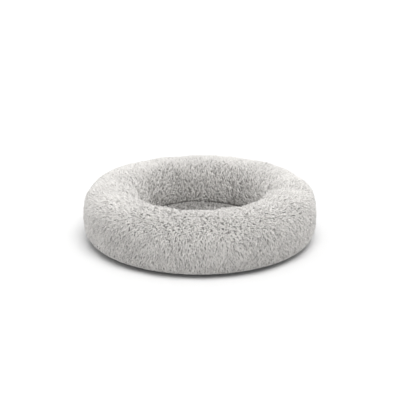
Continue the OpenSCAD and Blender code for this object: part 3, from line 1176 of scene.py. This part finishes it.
class PETBED_OT_base(bpy.types.Operator):
    """Makes what is under the bed: base cloth, folded binding, grip dots and care label"""

    bl_idname = "petbed.base"
    bl_label = "Base"

    def execute(self, context):
        base = context.scene.bed_base
        self.lay_cloth(base)
        self.bind_edge()
        self.set_dots(base)
        self.sew_label(base)
        return {"FINISHED"}

    def lay_cloth(self, base):
        half = base.cloth / 2
        drop = base.height - base.dot_height
        c = math.cos(base.slope)
        s = math.sin(base.slope)
        low = (drop - half * c) / s
        high = (drop + half * c - base.cloth) / s
        flat = on_seam(low, half)[0]
        top = on_seam(high, -half)[0]
        under = [(flat * k / 16, base.dot_height) for k in range(16)]
        under += [on_seam(low + (BACK_HEM - low) * k / 6, half) for k in range(7)]
        over = [on_seam(high + (BACK_HEM - high) * k / 6, -half) for k in range(6, -1, -1)]
        over += [(top * k / 16, base.dot_height + base.cloth) for k in range(15, -1, -1)]
        cloth = spun("base_cloth", under + over, 360)
        points = points_of(cloth)
        theta, r = polar(points)
        u, v = from_seam(r, points[:, 2])
        turned = np.degrees(np.mod(theta, TAU))
        reach = np.clip(turned - 179, 0, 1) + np.clip(1 - turned, 0, 1)
        on_rim = (u < low - 1e-6) & (r > flat - 0.002)
        part = np.clip((low - u) / (low - BACK_HEM), 0, 1) * reach
        rim_r, rim_z = on_seam(u - part * (BACK_HEM - FRONT_HEM), v)
        pucker = 0.00016 * np.sin(theta * 190 + 2.0 * np.sin(theta * 13)) * on_rim * part
        points[:, :2] *= (np.where(on_rim, rim_r, r) / np.maximum(r, 1e-9))[:, None]
        points[:, 2] = np.where(on_rim, rim_z, points[:, 2]) + pucker
        put_points(cloth, points)
        weave = finish_of("base_cloth", woven_finish, tuple(base.colour), 3000.0, 0.0003, 0.78, 0.34)
        dress(cloth, weave, "base_cloth", "base_panel", soft=50)

    def bind_edge(self):
        u, v = rounded(28, 0.0030, 0.0012, 0.55, 0.75)
        v = v * (1 - 0.16 * np.exp(-((u / 0.0009) ** 2)))
        binding = spun("base_binding_tape", list(zip(*on_seam(u, v))), 360, math.pi, math.pi)
        dress(binding, trim_finish(), "binding", "base_binding", soft=50)
        stitches("binding_stitches", round_seam(180.3, 179.4, 0.0034), 0.0019, 0.00112)
        back = round_seam(6.7, 166.6, 0.0030)
        stitches("base_stitches", back, 0.0133, 0.00058, np.where(np.arange(len(back)) % 2, 1.0, -1.0))
        stitches("hem_stitches", back, -0.0124, 0.00050)

    def set_dots(self, base):
        deselect()
        middle = (0, 0, base.dot_height / 2)
        bpy.ops.mesh.primitive_cylinder_add(
            vertices=24, radius=base.dot / 2, depth=base.dot_height, location=middle
        )
        dot = bpy.context.object
        bpy.ops.object.transform_apply(location=True, rotation=True, scale=True)
        self.choose(dot.data.edges, lambda edge: all(dot.data.vertices[k].co.z < 1e-5 for k in edge.vertices))
        bpy.context.tool_settings.mesh_select_mode = (False, True, False)
        bpy.ops.mesh.bevel(offset=0.0007, segments=2, profile=0.5)
        close_mesh()
        open_mesh()
        bpy.context.tool_settings.mesh_select_mode = (False, False, True)
        close_mesh()
        self.choose(dot.data.polygons, lambda face: len(face.vertices) > 8 and face.center.z < 1e-5)
        for wide, deep in ((0.0012, 0), (0.0005, -0.0003), (0.0012, 0), (0.0004, 0.0003)):
            bpy.ops.mesh.inset(thickness=wide, depth=deep)
        close_mesh()
        spots = []
        rings = 4
        for q in range(-rings, rings + 1):
            for k in range(-rings, rings + 1):
                if abs(q + k) <= rings:
                    spots.append((base.dot_pitch * (q + k / 2), base.dot_pitch * k * math.sqrt(3) / 2, 0))
        dots = copies("grip_pads", dot, np.array(spots), np.tile(np.eye(3), (len(spots), 1, 1)))
        dress(dots, finish_of("grip_rubber", rubber_finish), "grip_rubber", "grip_dots")

    def choose(self, items, wanted):
        """Opens the active form with only the wanted edges or faces selected"""
        open_mesh()
        bpy.ops.mesh.select_all(action="DESELECT")
        close_mesh()
        for item in items:
            item.select = wanted(item)
        open_mesh()

    def sew_label(self, base):
        off = base.cloth / 2 + 0.0002
        bend = (base.height - off * math.cos(base.slope) - base.dot_height + 0.0002) / math.sin(base.slope)
        flat = on_seam(bend, off)[0]
        path = [on_seam(FRONT_HEM + (bend - FRONT_HEM) * k / 8, off) for k in range(9)]
        path += [(flat - 0.03335 * k / 22, base.dot_height - 0.0002) for k in range(1, 23)]
        under = [(r, z - 0.00035) for r, z in reversed(path)]
        label = spun("label_ribbon", path + under, 16, math.radians(205), 0.028 / base.seam)
        points = points_of(label)
        theta, r = polar(points)
        free = np.clip((flat - r) / 0.033, 0, 1)
        curl = 0.5 + 0.5 * np.sin((np.mod(theta, TAU) - 3.58) * 95 + free * 3)
        points[:, 2] -= 0.00022 * free * curl
        put_points(label, points)
        dress(label, finish_of("label_satin", satin_finish), "label_satin", "care_label", soft=50)


def eased(name, node, width):
    """A copy of a moulded or pressed part of the frame, merged, with its edges eased"""
    obj = added(name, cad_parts[node].data.copy())
    obj.hide_render = False
    pick(obj)
    open_mesh()
    take_all()
    bpy.ops.mesh.remove_doubles(threshold=WELD)
    take_all()
    bpy.ops.mesh.dissolve_limited(angle_limit=math.radians(1.0))
    close_mesh()
    bevel = obj.modifiers.new("eased edges", "BEVEL")
    bevel.width = width
    bevel.segments = 2
    bevel.limit_method = "ANGLE"
    bevel.angle_limit = math.radians(35)
    bpy.ops.object.modifier_apply(modifier=bevel.name)
    smooth(obj, 50)
    return obj


class PETBED_OT_zip(bpy.types.Operator):
    """Makes the zip: tapes, coils, stops, end tabs, slider and pull"""

    bl_idname = "petbed.zip"
    bl_label = "Zip"

    def execute(self, context):
        size = context.scene.bed_zip
        colour = tuple(size.colour)
        tape = finish_of("zip_tape", woven_finish, colour, 5600.0, 0.00012, 0.8, 0.25, True)
        nylon = finish_of("zip_coil", coil_finish, tint(colour, 1.5))
        metal = finish_of("zip_metal", metal_finish)
        for side, sign in (("outer", -1), ("inner", 1)):
            self.weave_tape(size, side, sign, tape)
            self.wind_coil(size, side, sign, nylon)
        for node in ("zip_top_stop", "zip_bottom_stop"):
            dress(eased(node + "_clamp", node, 0.00015), metal, "zip_metal", node)
        self.sew_tab("right", 0.1, 6.5)
        self.sew_tab("left", 173.5, 179.9)
        dress(eased("slider_body", "zip_slider", 0.00022), metal, "zip_metal", "zip_slider", body="slider")
        dress(eased("pull_tab", "zip_pull", 0.00025), metal, "zip_metal", "zip_pull", body="pull")
        return {"FINISHED"}

    def sew_tab(self, side, start, end):
        """Cloth tab over a zip end, held by a row of stitches across it"""
        u, v = rounded(32, 0.0131, 0.00045, 0.3, 0.6)
        outline = list(zip(*on_seam(u, 0.0009 + v)))
        tab = spun("zip_end_cloth_" + side, outline, 20, math.radians(start), math.radians(end - start))
        dress(tab, trim_finish(), "binding", "zip_end_tab_" + side, soft=50)
        u = np.linspace(-0.0118, 0.0118, 9)
        for edge, place in (("out", start + 0.5), ("in", end - 0.5)):
            across = np.full(len(u), math.radians(place))
            stitches("tab_stitches_" + side + "_" + edge, across, u, 0.00135, math.pi / 2)

    def weave_tape(self, size, side, sign, material):
        near = size.gap / 2 + size.coil
        thick = 0.0004
        thin = 0.72 * thick
        outline = [(near + size.tape * k / 8, thick if k in (0, 1, 8) else thin) for k in range(9)]
        outline += [(u, -v) for u, v in reversed(outline)]
        points = [on_seam(sign * u, v) for u, v in outline]
        tape = spun("zip_tape_" + side + "_cloth", points, 344, size.start, size.span)
        dress(tape, material, "zip_tape", "zip_tape_" + side, soft=50)

    def wind_coil(self, size, side, sign, material):
        deselect()
        bpy.ops.mesh.primitive_torus_add(
            major_segments=11, minor_segments=4, major_radius=0.00085, minor_radius=0.00035
        )
        loop = bpy.context.object
        points = points_of(loop)
        stretch = 1.325 / 1.2
        points[:, 0] *= stretch
        put_points(loop, points)
        start = size.start + math.radians(2.5)
        span = size.span - math.radians(5)
        count = int(span * sizes("bed_base").seam / size.pitch)
        shift = 0.75 if sign > 0 else 0.25
        angles = start + span * (np.arange(count) + shift) / count
        coil = copies(
            "zip_coil_" + side + "_loops", loop, *seam_frames(angles, sign * 0.001675, 0.0, 0.30 * sign)
        )
        dress(coil, material, "zip_coil", "zip_coil_" + side)


class PETBED_OT_stage(bpy.types.Operator):
    """Sets the floor, the lights and the camera"""

    bl_idname = "petbed.stage"
    bl_label = "Stage"

    def execute(self, context):
        scene = context.scene
        look = scene.bed_stage
        deselect()
        bpy.ops.mesh.primitive_plane_add(size=30, location=(0, 0, 0))
        floor = context.object
        floor.name = "floor"
        f = Finish("floor_paint", roughness=0.9, specular_ior_level=0.0)
        grain = f.mix(f.noise(f.place(), 3.0), tint(look.floor, 0.995), tuple(look.floor))
        floor.data.materials.append(f.wear(base_color=grain))
        scene.world = bpy.data.worlds.new("studio")
        scene.world.use_nodes = True
        self.light_world(scene.world.node_tree)
        sun = bpy.data.lights.new("softbox", "SUN")
        sun.energy = 2.7
        sun.angle = math.radians(44)
        softbox = added("softbox", sun)
        softbox.location = (0.3, -1.0, 3.0)
        softbox.rotation_euler = (-softbox.location).to_track_quat("-Z", "Y").to_euler()
        lens = bpy.data.cameras.new("camera")
        lens.lens = look.lens
        lens.sensor_width = 36
        lens.clip_end = 60
        camera = added("camera", lens)
        back = look.distance * math.cos(look.rise)
        camera.location = (0, -back, 0.09 + look.distance * math.sin(look.rise))
        camera.rotation_euler = (math.pi / 2 - look.rise + look.drop, 0, 0)
        scene.camera = camera
        scene.view_settings.view_transform = "Standard"
        return {"FINISHED"}

    def light_world(self, tree):
        """An even white dome, a little dimmer between the horizon and the top"""
        where = tree.nodes.new("ShaderNodeTexCoord")
        split = tree.nodes.new("ShaderNodeSeparateXYZ")
        ramp = tree.nodes.new("ShaderNodeValToRGB")
        tree.links.new(where.outputs["Generated"], split.inputs[0])
        tree.links.new(split.outputs["Z"], ramp.inputs[0])
        tree.links.new(ramp.outputs[0], tree.nodes["Background"].inputs[0])
        levels = ((0.04, 0.97), (0.22, 0.90), (0.6, 0.60), (1.0, 0.62))
        fill_ramp(ramp.color_ramp, [(place, (level, level, level)) for place, level in levels])


class PETBED_PT_panel(bpy.types.Panel):
    """Lists the steps that build the bed"""

    bl_idname = "PETBED_PT_panel"
    bl_label = "Round fur bolster bed"
    bl_space_type = "VIEW_3D"
    bl_region_type = "UI"
    bl_category = "Pet Bed"

    def draw(self, context):
        for step in STEPS:
            self.layout.operator(step.bl_idname)


STEPS = (
    PETBED_OT_ring_cover,
    PETBED_OT_ring_pile,
    PETBED_OT_well,
    PETBED_OT_filling,
    PETBED_OT_base,
    PETBED_OT_zip,
    PETBED_OT_stage,
)


CLASSES = (*GROUPS.values(), *STEPS, PETBED_PT_panel)


def register():
    for kind in CLASSES:
        bpy.utils.register_class(kind)
    for name, group in GROUPS.items():
        setattr(bpy.types.Scene, name, bpy.props.PointerProperty(type=group))


def unregister():
    for name in GROUPS:
        delattr(bpy.types.Scene, name)
    for kind in reversed(CLASSES):
        bpy.utils.unregister_class(kind)


def main():
    register()
    bpy.ops.petbed.ring_cover()
    bpy.ops.petbed.ring_pile()
    bpy.ops.petbed.well()
    bpy.ops.petbed.filling()
    bpy.ops.petbed.base()
    bpy.ops.petbed.zip()
    bpy.ops.petbed.stage()
    deselect()


if __name__ == "__main__":
    main()
